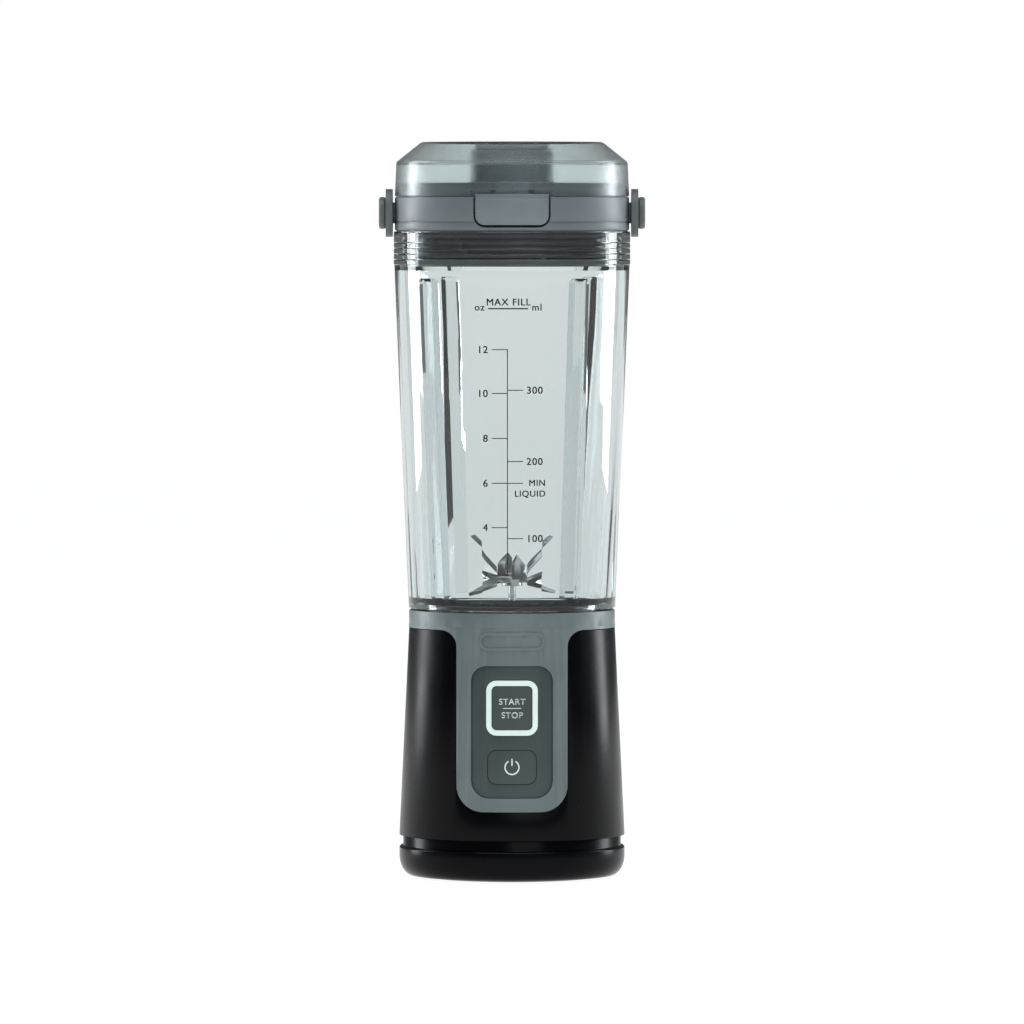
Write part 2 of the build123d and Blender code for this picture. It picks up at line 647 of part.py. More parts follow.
save(sip_cover, "sip_cover")

with BuildPart() as spout_plug:
    with BuildSketch(Plane.XY.offset(spout_high + gap)):
        with Locations((0, spout_place)):
            RectangleRounded(spout_width - 3, spout_depth - 3, 5.5)
    extrude(amount=overall_height - cover_wall - spout_high - gap)
save(spout_plug, "spout_plug")

with BuildPart() as latch:
    ring(latch_inner_radius, lid_radius + 0.1, latch_low, latch_high)
    facing(latch_width, latch_low, latch_high, 0.6, latch_corner, front_reach, Mode.INTERSECT)
    block((-tongue_half, catch_front, 253.0), (tongue_half, tongue_back, latch_high))
    block((-tongue_half, tongue_front, latch_high), (tongue_half, tongue_back, tongue_high))
    for side in (-1, 1):
        near, far = sorted((side * 8.0, side * 10.5))
        block((near, -41.5, latch_pin_z - latch_ear_radius),
              (far, latch_pin_y, latch_pin_z + latch_ear_radius))
        cross_rod(latch_ear_radius, latch_pin_y, latch_pin_z, near, far)
    cross_rod(latch_pin_radius + running_gap, latch_pin_y, latch_pin_z, -latch_width, latch_width,
              Mode.SUBTRACT)
save(latch, "latch")

with BuildPart() as latch_pin:
    cross_rod(latch_pin_radius, latch_pin_y, latch_pin_z, -pocket_width / 2 - 1, pocket_width / 2 + 1)
save(latch_pin, "latch_pin")

with BuildPart() as latch_spring:
    with BuildLine() as coil:
        Helix(0.9, 9.9, 1.3, center=(-4.95, latch_pin_y, latch_pin_z), direction=(1, 0, 0))
    with BuildSketch(Plane(origin=coil.line @ 0, z_dir=coil.line % 0)):
        Circle(0.22)
    sweep(path=coil.line)
save(latch_spring, "latch_spring")

# ---- Carry handle -------------------------------------------------------------------------------
with BuildPart() as carry_handle:
    bow = handle_straight + handle_bow
    with BuildSketch(Plane.XY.offset(pivot_level - handle_height / 2)):
        with BuildLine():
            Line((-handle_outer, 0), (-handle_outer, bow))
            ThreePointArc((-handle_outer, bow), (0, bow + handle_outer), (handle_outer, bow))
            Polyline((handle_outer, bow), (handle_outer, 0), (handle_inner, 0),
                     (handle_inner, handle_straight))
            ThreePointArc((handle_inner, handle_straight), (0, handle_straight + handle_inner),
                          (-handle_inner, handle_straight))
            Polyline((-handle_inner, handle_straight), (-handle_inner, 0), (-handle_outer, 0))
        make_face()
    extrude(amount=handle_height)
    fillet(carry_handle.edges().filter_by(GeomType.CIRCLE), 0.9)
    for side in (-1, 1):
        near, far = sorted((side * handle_inner, side * handle_outer))
        cross_rod(pivot_disc_radius, 0, pivot_level, near, far)
        cross_rod(pivot_radius, 0, pivot_level, near, far, Mode.SUBTRACT)
save(carry_handle, "carry_handle")

with BuildPart() as handle_caps:
    for side in (-1, 1):
        near, far = sorted((side * handle_outer, side * cap_disc_out))
        cross_rod(cap_disc_radius, 0, pivot_level, near, far)
    fillet(handle_caps.edges().group_by(Axis.X)[0] + handle_caps.edges().group_by(Axis.X)[-1], 1.0)
save(handle_caps, "handle_caps")
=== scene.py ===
import json
import math

import bpy
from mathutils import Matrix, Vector


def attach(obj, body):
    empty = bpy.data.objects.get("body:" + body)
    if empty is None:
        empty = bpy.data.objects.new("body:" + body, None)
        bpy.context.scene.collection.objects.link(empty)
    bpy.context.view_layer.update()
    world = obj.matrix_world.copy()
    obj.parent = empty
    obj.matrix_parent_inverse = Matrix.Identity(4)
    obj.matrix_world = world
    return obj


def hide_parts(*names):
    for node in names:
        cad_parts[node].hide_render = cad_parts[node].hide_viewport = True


bl_info = {
    "name": "Personal Blender Builder",
    "version": (1, 0, 0),
    "blender": (4, 5, 0),
    "location": "View3D > Sidebar > Blender Parts",
    "description": "Builds the visible pieces of a cordless personal blender around its packed frame",
    "category": "Object",
}

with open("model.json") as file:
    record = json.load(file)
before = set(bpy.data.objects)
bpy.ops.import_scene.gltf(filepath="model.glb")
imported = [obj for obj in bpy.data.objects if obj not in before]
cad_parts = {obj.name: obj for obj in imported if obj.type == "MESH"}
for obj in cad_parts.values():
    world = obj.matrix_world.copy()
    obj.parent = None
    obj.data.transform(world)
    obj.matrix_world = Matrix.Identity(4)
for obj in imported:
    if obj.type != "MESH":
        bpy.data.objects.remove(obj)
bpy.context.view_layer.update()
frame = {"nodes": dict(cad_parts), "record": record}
MM = 0.001
TURN = 2 * math.pi
FINISHES = {}

# Heights and radii below are millimetres in the object's own frame: +Z up, the front at -Y.
SHELL_LOW, SHELL_HIGH = 15.8, 93.6
SHELL_FOOT, SHELL_HEAD = 42.4, 38.7
COLLAR_LOW, COLLAR_HIGH = 93.9, 100.6
START_LEVEL, POWER_LEVEL, PORT_LEVEL = 65.3, 43.3, 30.0
VESSEL_LOW, VESSEL_HIGH = 91.5, 242.5
FLANGE_LOW, TAPER_HIGH = 101.0, 229.9
PIVOT_LEVEL = 249.4
HINGE_Y, HINGE_LEVEL, HINGE_RADIUS, HINGE_HOLE = 42.2, 257.5, 2.4, 1.25
LATCH_PIN_Y, LATCH_PIN_LEVEL, LATCH_HOLE = -39.3, 250.2, 0.95
SPOUT_Y = -24.5
REACH = 60.0  # past the object's outside, where a cutting shape ends
INK = 0.015  # half the thickness of a printed mark
MERGE = 2e-6  # metres within which points become one
ROUND_STEPS = 240  # flats in a full turn of a round moulding


# ---- Modelling by operators ---------------------------------------------------------------------
def deselect():
    """Leaves nothing selected and nothing in edit mode."""
    if bpy.context.mode != "OBJECT":
        bpy.ops.object.mode_set(mode="OBJECT")
    bpy.ops.object.select_all(action="DESELECT")


def use(piece):
    """Makes one piece the only one selected, and active."""
    deselect()
    piece.select_set(True)
    bpy.context.view_layer.objects.active = piece


def edit(piece, everything=True):
    """Opens a piece in edit mode."""
    use(piece)
    bpy.ops.object.mode_set(mode="EDIT")
    bpy.ops.mesh.select_all(action="SELECT" if everything else "DESELECT")


def close_edit():
    """Merges doubles, points the faces outwards and leaves edit mode."""
    bpy.ops.mesh.select_all(action="SELECT")
    bpy.ops.mesh.remove_doubles(threshold=MERGE)
    bpy.ops.mesh.normals_make_consistent(inside=False)
    bpy.ops.object.mode_set(mode="OBJECT")


def traced(name, points):
    """Draws a closed outline by extruding one vertex round a list of points, in millimetres."""
    deselect()
    bpy.ops.mesh.primitive_plane_add(size=MM)
    piece = bpy.context.active_object
    piece.name = name
    piece.data.name = name
    bpy.ops.object.mode_set(mode="EDIT")
    bpy.ops.mesh.merge(type="CENTER")
    here = Vector((0, 0, 0))
    for step, point in enumerate(list(points) + [points[0]]):
        move = (Vector(point) - here) * MM
        if step == 0:
            bpy.ops.transform.translate(value=move)
        else:
            bpy.ops.mesh.extrude_region_move(TRANSFORM_OT_translate={"value": move})
        here = Vector(point)
    bpy.ops.mesh.select_all(action="SELECT")
    bpy.ops.mesh.remove_doubles(threshold=MERGE)
    return piece


def spun(name, points, steps=ROUND_STEPS):
    """Spins a closed outline of (radius, height) points about the vertical axis."""
    piece = traced(name, [(radius, 0, height) for radius, height in points])
    bpy.ops.mesh.select_all(action="SELECT")
    bpy.ops.mesh.spin(steps=steps, angle=TURN, center=(0, 0, 0), axis=(0, 0, 1))
    close_edit()
    return piece


def prism(name, points, corners, near, far, segments=8):
    """A flat outline of (x, z) points, its corners rounded, pulled along Y from near to far."""
    piece = traced(name, [(x, near, z) for x, z in points])
    bpy.ops.mesh.edge_face_add()
    bpy.ops.object.mode_set(mode="OBJECT")
    for radius in sorted(set(corners) - {0}):
        wanted = [Vector((p[0], near, p[1])) * MM for p, c in zip(points, corners) if c == radius]
        edit(piece, everything=False)
        bpy.ops.object.mode_set(mode="OBJECT")
        for vertex in piece.data.vertices:
            vertex.select = any((vertex.co - place).length < 1e-5 for place in wanted)
        bpy.ops.object.mode_set(mode="EDIT")
        bpy.ops.mesh.select_mode(type="VERT")
        bpy.ops.mesh.bevel(offset=radius * MM, segments=segments, affect="VERTICES")
        bpy.ops.object.mode_set(mode="OBJECT")
    edit(piece)
    bpy.ops.mesh.extrude_region_move(TRANSFORM_OT_translate={"value": (0, (far - near) * MM, 0)})
    close_edit()
    return piece


def window(name, width, low, high, top, bottom, near=0.0, far=-REACH):
    """A rounded-rectangle prism on the middle line, between two heights."""
    half = width / 2
    points = [(-half, low), (half, low), (half, high), (-half, high)]
    return prism(name, points, [bottom, bottom, top, top], near, far)


def box_piece(name, low, high):
    """A block between two corners, in millimetres."""
    deselect()
    size = [(b - a) * MM for a, b in zip(low, high)]
    centre = [(a + b) / 2 * MM for a, b in zip(low, high)]
    bpy.ops.mesh.primitive_cube_add(size=1, location=centre)
    piece = bpy.context.active_object
    piece.name = name
    piece.data.name = name
    piece.scale = size
    settle(piece)
    return piece


def rod(name, radius, y, z, low_x, high_x, sides=64):
    """A round bar along X, in millimetres."""
    deselect()
    bpy.ops.mesh.primitive_cylinder_add(
        vertices=sides, radius=radius * MM, depth=(high_x - low_x) * MM,
        location=((low_x + high_x) / 2 * MM, y * MM, z * MM), rotation=(0, math.pi / 2, 0))
    piece = bpy.context.active_object
    piece.name = name
    piece.data.name = name
    settle(piece)
    return piece


def settle(piece):
    """Puts a piece's place, turn and size into its mesh."""
    use(piece)
    bpy.ops.object.transform_apply(location=True, rotation=True, scale=True)


def applied(piece, kind, **settings):
    """Adds a modifier with its settings and applies it."""
    use(piece)
    modifier = piece.modifiers.new(kind.title(), kind)
    for key, value in settings.items():
        setattr(modifier, key, value)
    bpy.ops.object.modifier_apply(modifier=modifier.name)
    return piece


def combine(piece, tool, operation):
    """Cuts, joins or intersects a piece with a tool, which is used up."""
    applied(piece, "BOOLEAN", operation=operation, object=tool, solver="EXACT")
    bpy.data.objects.remove(tool, do_unlink=True)
    return piece


def cut(piece, tool):
    """Takes a tool's shape out of a piece."""
    return combine(piece, tool, "DIFFERENCE")


def add(piece, tool):
    """Welds a tool's shape to a piece."""
    return combine(piece, tool, "UNION")


def keep(piece, tool):
    """Keeps what a piece and a tool share."""
    return combine(piece, tool, "INTERSECT")


def soften(piece, width, segments=2, angle=35):
    """Rounds the sharp edges, merges doubles and shades the curved faces smooth."""
    edit(piece)
    close_edit()
    if width:
        applied(piece, "BEVEL", width=width * MM, segments=segments, limit_method="ANGLE",
                angle_limit=math.radians(angle), use_clamp_overlap=True, miter_outer="MITER_ARC",
                harden_normals=False)
    use(piece)
    bpy.ops.object.shade_smooth_by_angle(angle=math.radians(angle))
    return piece


def joined(name, pieces):
    """Joins loose pieces into one object."""
    deselect()
    for piece in pieces:
        piece.select_set(True)
    bpy.context.view_layer.objects.active = pieces[0]
    bpy.ops.object.join()
    pieces[0].name = name
    pieces[0].data.name = name
    return pieces[0]


def finished(piece, body, material, slot, *nodes):
    """Gives a piece its finish and fixes it to the body that it moves with."""
    piece.data.materials.clear()
    piece.data.materials.append(material)
    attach(piece, body)
    if nodes:
        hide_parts(*nodes)
    return piece


def shell_radius(height):
    """The base's outer radius at a height."""
    return SHELL_FOOT - (height - SHELL_LOW) * (SHELL_FOOT - SHELL_HEAD) / (SHELL_HIGH - SHELL_LOW)


def skin(name, low, high, proud, thickness):
    """A tapered wall that follows the base's outside."""
    foot, head = shell_radius(low) + proud, shell_radius(high) + proud
    outline = [(foot - thickness, low), (foot, low), (head, high), (head - thickness, high)]
    return spun(name, outline)


# ---- Finishes -----------------------------------------------------------------------------------
def shader(name):
    """A new material with its shader and its node tree; the frame's own of that name steps aside."""
    drawn = bpy.data.materials.get(name)
    if drawn:
        drawn.name = "drawn_" + name
    material = bpy.data.materials.new(name)
    material.use_nodes = True
    nodes = material.node_tree.nodes
    return material, nodes, material.node_tree.links, nodes["Principled BSDF"]


def object_noise(nodes, links, scale, detail, stretch=(1, 1, 1)):
    """Noise laid out in the piece's own coordinates."""
    place = nodes.new("ShaderNodeTexCoord")
    mapping = nodes.new("ShaderNodeMapping")
    mapping.inputs["Scale"].default_value = stretch
    noise = nodes.new("ShaderNodeTexNoise")
    noise.inputs["Scale"].default_value = scale
    noise.inputs["Detail"].default_value = detail
    links.new(place.outputs["Object"], mapping.inputs["Vector"])
    links.new(mapping.outputs["Vector"], noise.inputs["Vector"])
    return noise


def ramp(nodes, links, source, low, high):
    """Turns the middle of a noise's range into a range of values or colours."""
    fade = nodes.new("ShaderNodeValToRGB")
    for element, value, place in zip(fade.color_ramp.elements, (low, high), (0.3, 0.7)):
        element.position = place
        element.color = tuple(value) + (1,) if isinstance(value, tuple) else (value, value, value, 1)
    links.new(source, fade.inputs["Fac"])
    return fade


def bumped(nodes, links, surface, height, strength, distance):
    """Adds fine relief to a surface."""
    bump = nodes.new("ShaderNodeBump")
    bump.inputs["Strength"].default_value = strength
    bump.inputs["Distance"].default_value = distance
    links.new(height, bump.inputs["Height"])
    links.new(bump.outputs["Normal"], surface.inputs["Normal"])


def moulded(name, colour, rough=0.4, grain=1800, relief=0.12, coat=0.0, spec=0.5, vary=0.12):
    """Moulded plastic or rubber: a fine spark texture, uneven gloss and faint colour drift."""
    material, nodes, links, surface = shader(name)
    surface.inputs["Specular IOR Level"].default_value = spec
    surface.inputs["Coat Weight"].default_value = coat
    surface.inputs["Coat Roughness"].default_value = 0.12
    fine = object_noise(nodes, links, grain, 3.0)
    broad = object_noise(nodes, links, 45, 5.0)
    tone = ramp(nodes, links, broad.outputs["Fac"], tuple(c * (1 - vary) for c in colour),
                tuple(min(1, c * (1 + vary)) for c in colour))
    links.new(tone.outputs["Color"], surface.inputs["Base Color"])
    gloss = ramp(nodes, links, broad.outputs["Fac"], max(0.02, rough - 0.05), rough + 0.05)
    links.new(gloss.outputs["Color"], surface.inputs["Roughness"])
    bumped(nodes, links, surface, fine.outputs["Fac"], relief, 0.00006)
    return material


def metal(name, colour, rough=0.25, stretch=(1, 1, 40), grain=220, relief=0.15):
    """Drawn, ground or plated metal with fine lines along one direction."""
    material, nodes, links, surface = shader(name)
    surface.inputs["Metallic"].default_value = 1.0
    lines = object_noise(nodes, links, grain, 6.0, stretch)
    tone = ramp(nodes, links, lines.outputs["Fac"], tuple(c * 0.82 for c in colour), colour)
    links.new(tone.outputs["Color"], surface.inputs["Base Color"])
    gloss = ramp(nodes, links, lines.outputs["Fac"], rough * 0.7, rough * 1.3)
    links.new(gloss.outputs["Color"], surface.inputs["Roughness"])
    bumped(nodes, links, surface, lines.outputs["Fac"], relief, 0.00004)
    return material


def clear(name, colour, rough, ior, relief=0.03, depth=0.0, deep=(1, 1, 1)):
    """See-through moulding with faint flow ripples, darker where it is thick."""
    material, nodes, links, surface = shader(name)
    if depth:
        body = nodes.new("ShaderNodeVolumeAbsorption")
        body.inputs["Color"].default_value = tuple(deep) + (1,)
        body.inputs["Density"].default_value = depth
        links.new(body.outputs["Volume"], nodes["Material Output"].inputs["Volume"])
    surface.inputs["Transmission Weight"].default_value = 1.0
    surface.inputs["IOR"].default_value = ior
    flow = object_noise(nodes, links, 60, 2.0, (1, 1, 0.25))
    tone = ramp(nodes, links, flow.outputs["Fac"], tuple(c * 0.985 for c in colour), colour)
    links.new(tone.outputs["Color"], surface.inputs["Base Color"])
    gloss = ramp(nodes, links, flow.outputs["Fac"], rough, rough + 0.02)
    links.new(gloss.outputs["Color"], surface.inputs["Roughness"])
    bumped(nodes, links, surface, flow.outputs["Fac"], relief, 0.0004)
    return material


def glowing(name, colour, strength):
    """A milky light guide that glows evenly, a little mottled."""
    material, nodes, links, surface = shader(name)
    surface.inputs["Roughness"].default_value = 0.25
    surface.inputs["Emission Strength"].default_value = strength
    cloud = object_noise(nodes, links, 160, 4.0)
    tone = ramp(nodes, links, cloud.outputs["Fac"], tuple(c * 0.95 for c in colour), colour)
    links.new(tone.outputs["Color"], surface.inputs["Base Color"])
    links.new(tone.outputs["Color"], surface.inputs["Emission Color"])
    bumped(nodes, links, surface, cloud.outputs["Fac"], 0.05, 0.0001)
    return material


class BlenderColours(bpy.types.PropertyGroup):
    """The colours a user would change."""

    def colour(name, default):
        return bpy.props.FloatVectorProperty(name=name, description=f"Colour of the {name.lower()}",
                                             subtype="COLOR", size=3, min=0, max=1, default=default)

    shell: colour("Body shell", (0.0009, 0.0010, 0.0016))
    cap: colour("Foot", (0.0010, 0.0011, 0.0020))
    fascia: colour("Fascia", (0.135, 0.172, 0.176))
    panel: colour("Control panel", (0.042, 0.063, 0.062))
    key: colour("Buttons", (0.047, 0.068, 0.067))
    guide: colour("Light ring", (0.72, 0.86, 0.83))
    vessel: colour("Vessel", (0.90, 0.925, 0.925))
    lid: colour("Lid", (0.135, 0.160, 0.172))
    cover: colour("Sip cover", (0.79, 0.86, 0.86))
    latch: colour("Latch", (0.165, 0.200, 0.212))
    handle: colour("Handle", (0.105, 0.125, 0.120))
    print_ink: colour("Vessel print", (0.006, 0.008, 0.009))
    key_ink: colour("Button print", (0.80, 0.86, 0.85))


class BlenderSizes(bpy.types.PropertyGroup):
    """The sizes a user would change."""

    def length(name, default):
        return bpy.props.FloatProperty(name=name, description=f"{name}, in metres", unit="LENGTH",
                                       min=0.0, default=default)

    edge: length("Rounding of moulded edges", 0.00035)
    letter: length("Cap height of the vessel's print", 0.0026)
    thread: length("Height of the thread ridge", 0.0006)
    facet_count: bpy.props.IntProperty(name="Facets", default=40, min=12, max=90,
                                       description="Flat panels around the vessel's inside")
    flutter: length("Depth of the vessel's inner facets", 0.0005)


def colours():
    """The colours as they are set."""
    return bpy.context.scene.blender_colours


def sizes():
    """The sizes as they are set."""
    return bpy.context.scene.blender_sizes


def finish_named(name, maker, *values, **options):
    """A finish, made the first time that it is asked for."""
    if name not in FINISHES:
        FINISHES[name] = maker(name, *values, **options)
    return FINISHES[name]


def grey_plastic():
    """The lid's satin grey plastic."""
    return finish_named("lid_plastic", moulded, tuple(colours().lid), 0.36, relief=0.08)


# ---- Base ---------------------------------------------------------------------------------------
def tee_prism(grow):
    """The fascia's outline: a panel with rounded feet that flares into the collar."""
    half, band, foot = 20.7 + grow, COLLAR_LOW - grow, 26.6 - grow
    points = [(-REACH, band), (-half, band), (-half, foot), (half, foot), (half, band), (REACH, band),
              (REACH, 110), (-REACH, 110)]
    corners = [0, 6.0, 9.8, 9.8, 6.0, 0, 0, 0]
    return prism("tee", points, corners, 0, -REACH, segments=12)


class BLENDER_OT_body_shell(bpy.types.Operator):
    """Makes the black body shell, open at the front for the fascia and at the back for the port"""

    bl_idname = "blender_parts.body_shell"
    bl_label = "Body Shell"

    def execute(self, context):
        shell = skin("body_shell_moulding", SHELL_LOW, SHELL_HIGH, 0, 2.2)
        cut(shell, tee_prism(0.12))
        cut(shell, window("port_hole", 15.0, 25.3, 34.6, 1.6, 1.6, 0.0, REACH))
        soften(shell, 0.3)
        black = finish_named("shell_black", moulded, tuple(colours().shell), 0.27, relief=0.02, spec=0.11)
        finished(shell, "base", black, "shell_black", "body_shell")
        return {"FINISHED"}


class BLENDER_OT_foot(bpy.types.Operator):
    """Makes the convex foot with the groove above it"""

    bl_idname = "blender_parts.foot"
    bl_label = "Foot"

    def execute(self, context):
        turns = [math.radians(a) for a in range(0, 91, 10)]
        swell = [(37.4 + 5.0 * math.sin(a), 8.2 - 7.7 * math.cos(a)) for a in turns]
        outline = [(0, 1.7), (33.7, 1.7), (33.7, 0.5)] + swell
        outline += [(42.4, 11.1), (41.8, 11.75), (41.0, 11.8), (41.0, 15.7), (39.6, 15.8), (39.6, 22.0),
                    (37.4, 22.0), (37.4, 4.0), (0, 4.0)]
        foot = soften(spun("foot_moulding", outline), 0.12)
        black = finish_named("foot_black", moulded, tuple(colours().cap), 0.22, relief=0.02, spec=0.09)
        finished(foot, "base", black, "cap_black", "base_cap")
        return {"FINISHED"}


class BLENDER_OT_fascia(bpy.types.Operator):
    """Makes the fascia: the collar and the front panel as one moulding, with its blank badge"""

    bl_idname = "blender_parts.fascia"
    bl_label = "Fascia"

    def execute(self, context):
        fascia = skin("fascia_moulding", 25.0, 96.0, 0.15, 2.2)
        keep(fascia, tee_prism(0))
        cut(fascia, box_piece("above", (-REACH, -REACH, 95.0), (REACH, REACH, 110)))
        collar = spun("collar", [(36.3, COLLAR_LOW), (38.7, COLLAR_LOW), (38.7, COLLAR_HIGH - 0.7),
                                 (38.5, COLLAR_HIGH - 0.2), (38.0, COLLAR_HIGH), (36.3, COLLAR_HIGH)])
        add(fascia, collar)
        cut(fascia, window("panel_hole", 30.4, 31.7, 80.9, 5.7, 6.6))
        soften(fascia, 0.45, 3)
        grey = finish_named("fascia_grey", moulded, tuple(colours().fascia), 0.42, relief=0.1)
        finished(fascia, "base", grey, "fascia_grey", "fascia")
        badge = skin("badge", 80, 97, 0.5, 0.6)
        keep(badge, window("badge_outline", 25.0, 86.6, 93.4, 3.3, 3.3))
        cut(badge, window("badge_middle", 22.6, 87.8, 92.2, 2.1, 2.1))
        soften(badge, 0.15)
        finished(badge, "base", grey, "fascia_grey")
        return {"FINISHED"}


class BLENDER_OT_control_panel(bpy.types.Operator):
    """Makes the dark control panel, its light ring and the two buttons"""

    bl_idname = "blender_parts.control_panel"
    bl_label = "Control Panel"

    def execute(self, context):
        dark = finish_named("panel_dark", moulded, tuple(colours().panel), 0.5, grain=2600, relief=0.2)
        rubber = finish_named("key_rubber", moulded, tuple(colours().key), 0.46, grain=2600, relief=0.15)
        panel = skin("panel_insert", 30, 82, -0.3, 1.8)
        keep(panel, window("panel_outline", 30.2, 31.8, 80.8, 5.6, 6.5))
        cut(panel, window("ring_hole", 19.2, START_LEVEL - 10.2, START_LEVEL + 10.2, 3.8, 3.8))
        cut(panel, window("power_hole", 18.4, POWER_LEVEL - 6.45, POWER_LEVEL + 6.45, 3.6, 3.6))
        finished(soften(panel, 0.3), "base", dark, "panel_dark", "control_panel")
        guide = skin("light_guide", 50, 80, 0.15, 3.0)
        keep(guide, window("guide_outline", 19.2, START_LEVEL - 10.2, START_LEVEL + 10.2, 3.8, 3.8))
        cut(guide, window("guide_hole", 15.3, START_LEVEL - 8.25, START_LEVEL + 8.25, 1.9, 1.9))
        white = finish_named("guide_white", glowing, tuple(colours().guide), 0.16)
        finished(soften(guide, 0.35, 3), "base", white, "ring_white", "light_ring")
        start = skin("start_key", 50, 80, 0.0, 2.4)
        keep(start, window("start_outline", 14.9, START_LEVEL - 8.05, START_LEVEL + 8.05, 1.7, 1.7))
        stem = window("start_stem", 4.0, START_LEVEL - 2, START_LEVEL + 2, 1.9, 1.9, -35.9, -38.6)
        add(start, stem)
        finished(soften(start, 0.6, 4), "start_button", rubber, "button_dark", "start_button")
        power = skin("power_key", 30, 60, -0.1, 2.4)
        keep(power, window("power_outline", 18.0, POWER_LEVEL - 6.25, POWER_LEVEL + 6.25, 3.4, 3.4))
        stem = window("power_stem", 4.0, POWER_LEVEL - 2, POWER_LEVEL + 2, 1.9, 1.9, -35.9, -39.6)
        add(power, stem)
        finished(soften(power, 1.15, 6), "power_button", rubber, "button_dark", "power_button")
        flap = skin("port_cover", 20, 40, 0, 1.4)
        keep(flap, window("flap_outline", 14.4, PORT_LEVEL - 4.2, PORT_LEVEL + 4.2, 1.4, 1.4, 0.0, REACH))
        black = finish_named("flap_rubber", moulded, (0.008, 0.008, 0.009), 0.55, relief=0.2)
        finished(soften(flap, 0.25), "port_flap", black, "flap_rubber", "port_flap")
        return {"FINISHED"}


# ---- Vessel -------------------------------------------------------------------------------------
RIB_TURN, RIB_COUNT, RIB_TOP = -51.0, 4, 225.0
BORE_FOOT, BORE_HEAD, BORE_LOW, BORE_TOP = 34.4, 40.5, 105.3, 228.0
WALL_FOOT, WALL_HEAD = 38.9, 44.2
FACET_TOP = 209.0


def vessel_radius(height):
    """The vessel's outer radius at a height."""
    return WALL_FOOT + (height - FLANGE_LOW) * (WALL_HEAD - WALL_FOOT) / (TAPER_HIGH - FLANGE_LOW)


def bore_radius(height):
    """The vessel's inner radius at a height."""
    return BORE_FOOT + (height - BORE_LOW) * (BORE_HEAD - BORE_FOOT) / (BORE_TOP - BORE_LOW)


def ridge(name, profile, turns, pitch):
    """A thread ridge: a small outline wound up the vertical axis, with closed ends."""
    piece = traced(name, [(radius, 0, height) for radius, height in profile])
    bpy.ops.object.mode_set(mode="OBJECT")
    steps = int(120 * turns)
    applied(piece, "SCREW", angle=TURN * turns, screw_offset=pitch * turns * MM, steps=steps,
            render_steps=steps, axis="Z", use_normal_calculate=True)
    edit(piece, everything=False)
    bpy.ops.mesh.select_non_manifold()
    bpy.ops.mesh.fill_holes(sides=0)
    close_edit()
    bpy.ops.object.shade_smooth_by_angle(angle=math.radians(30))
    return piece


class BLENDER_OT_vessel(bpy.types.Operator):
    """Makes the clear vessel with its inner facets, four ribs, threaded rim and neck"""

    bl_idname = "blender_parts.vessel"
    bl_label = "Vessel"

    def execute(self, context):
        rim = [(WALL_HEAD, TAPER_HIGH), (44.4, 230.2)]
        for low in (231.6, 233.7, 235.8, 237.9):
            rim += [(44.4, low), (44.3, low + 0.12), (44.15, low + 0.3), (44.3, low + 0.48),
                    (44.4, low + 0.6)]
        rim += [(44.4, 242.0), (44.2, 242.35), (43.9, VESSEL_HIGH), (30.0, VESSEL_HIGH), (0, VESSEL_HIGH)]
        outside = [(0, VESSEL_LOW), (35.3, VESSEL_LOW), (35.7, 91.9), (35.7, FLANGE_LOW),
                   (38.2, FLANGE_LOW), (38.55, 101.1), (38.8, 101.35), (WALL_FOOT, 101.7)] + rim
        vessel = spun("vessel_moulding", outside)
        inside = [(0, 90.0), (31.9, 90.0), (31.9, 102.8), (BORE_FOOT, BORE_LOW), (BORE_HEAD, BORE_TOP),
                  (41.4, 229.5), (41.4, 242.2), (41.9, 244.0), (0, 244.0)]
        hollow = spun("hollow", inside)
        count = sizes().facet_count
        widen = 1 / math.cos(math.pi / count)
        depth = sizes().flutter / MM
        low = (bore_radius(BORE_LOW) - depth) * widen
        top = bore_radius(FACET_TOP) * widen
        high = bore_radius(BORE_TOP) * widen + 0.3
        facets = spun("facets", [(0, 88.0), (REACH, 88.0), (REACH, 103.2), (low - 1.5, 103.2),
                                 (low, BORE_LOW), (top, FACET_TOP), (high, BORE_TOP), (REACH, BORE_TOP),
                                 (REACH, 250), (0, 250)], count)
        keep(hollow, facets)
        cut(vessel, hollow)
        for step in range(RIB_COUNT):
            foot, head = BORE_FOOT, bore_radius(RIB_TOP)
            rib = prism("rib", [(foot - 4.0, BORE_LOW), (foot + 1.8, BORE_LOW), (head + 1.8, RIB_TOP),
                                (head - 2.8, RIB_TOP), (head - 4.0, RIB_TOP - 1.2)], [0] * 5, -3.2, 3.2)
            soften(rib, 0.8, 3)
            rib.rotation_euler = (0, 0, math.radians(RIB_TURN - 90 + step * 360 / RIB_COUNT))
            settle(rib)
            add(vessel, rib)
        edit(vessel)
        close_edit()
        bpy.ops.object.shade_smooth_by_angle(angle=math.radians(6))
        glass = finish_named("vessel_clear", clear, tuple(colours().vessel), 0.0, 1.4,
                             depth=42.0, deep=(0.32, 0.44, 0.46))
        finished(vessel, "vessel", glass, "vessel_clear", "vessel")
        return {"FINISHED"}


def wrapped(piece, radius_at, lift):
    """Lays a flat front-facing piece onto a round surface, keeping its own thickness."""
    for vertex in piece.data.vertices:
        x, depth, z = vertex.co / MM
        reach = math.sqrt(max(0.0, radius_at(z) ** 2 - x * x))
        vertex.co.y = -(reach + lift - depth) * MM
    piece.data.update()
    return piece


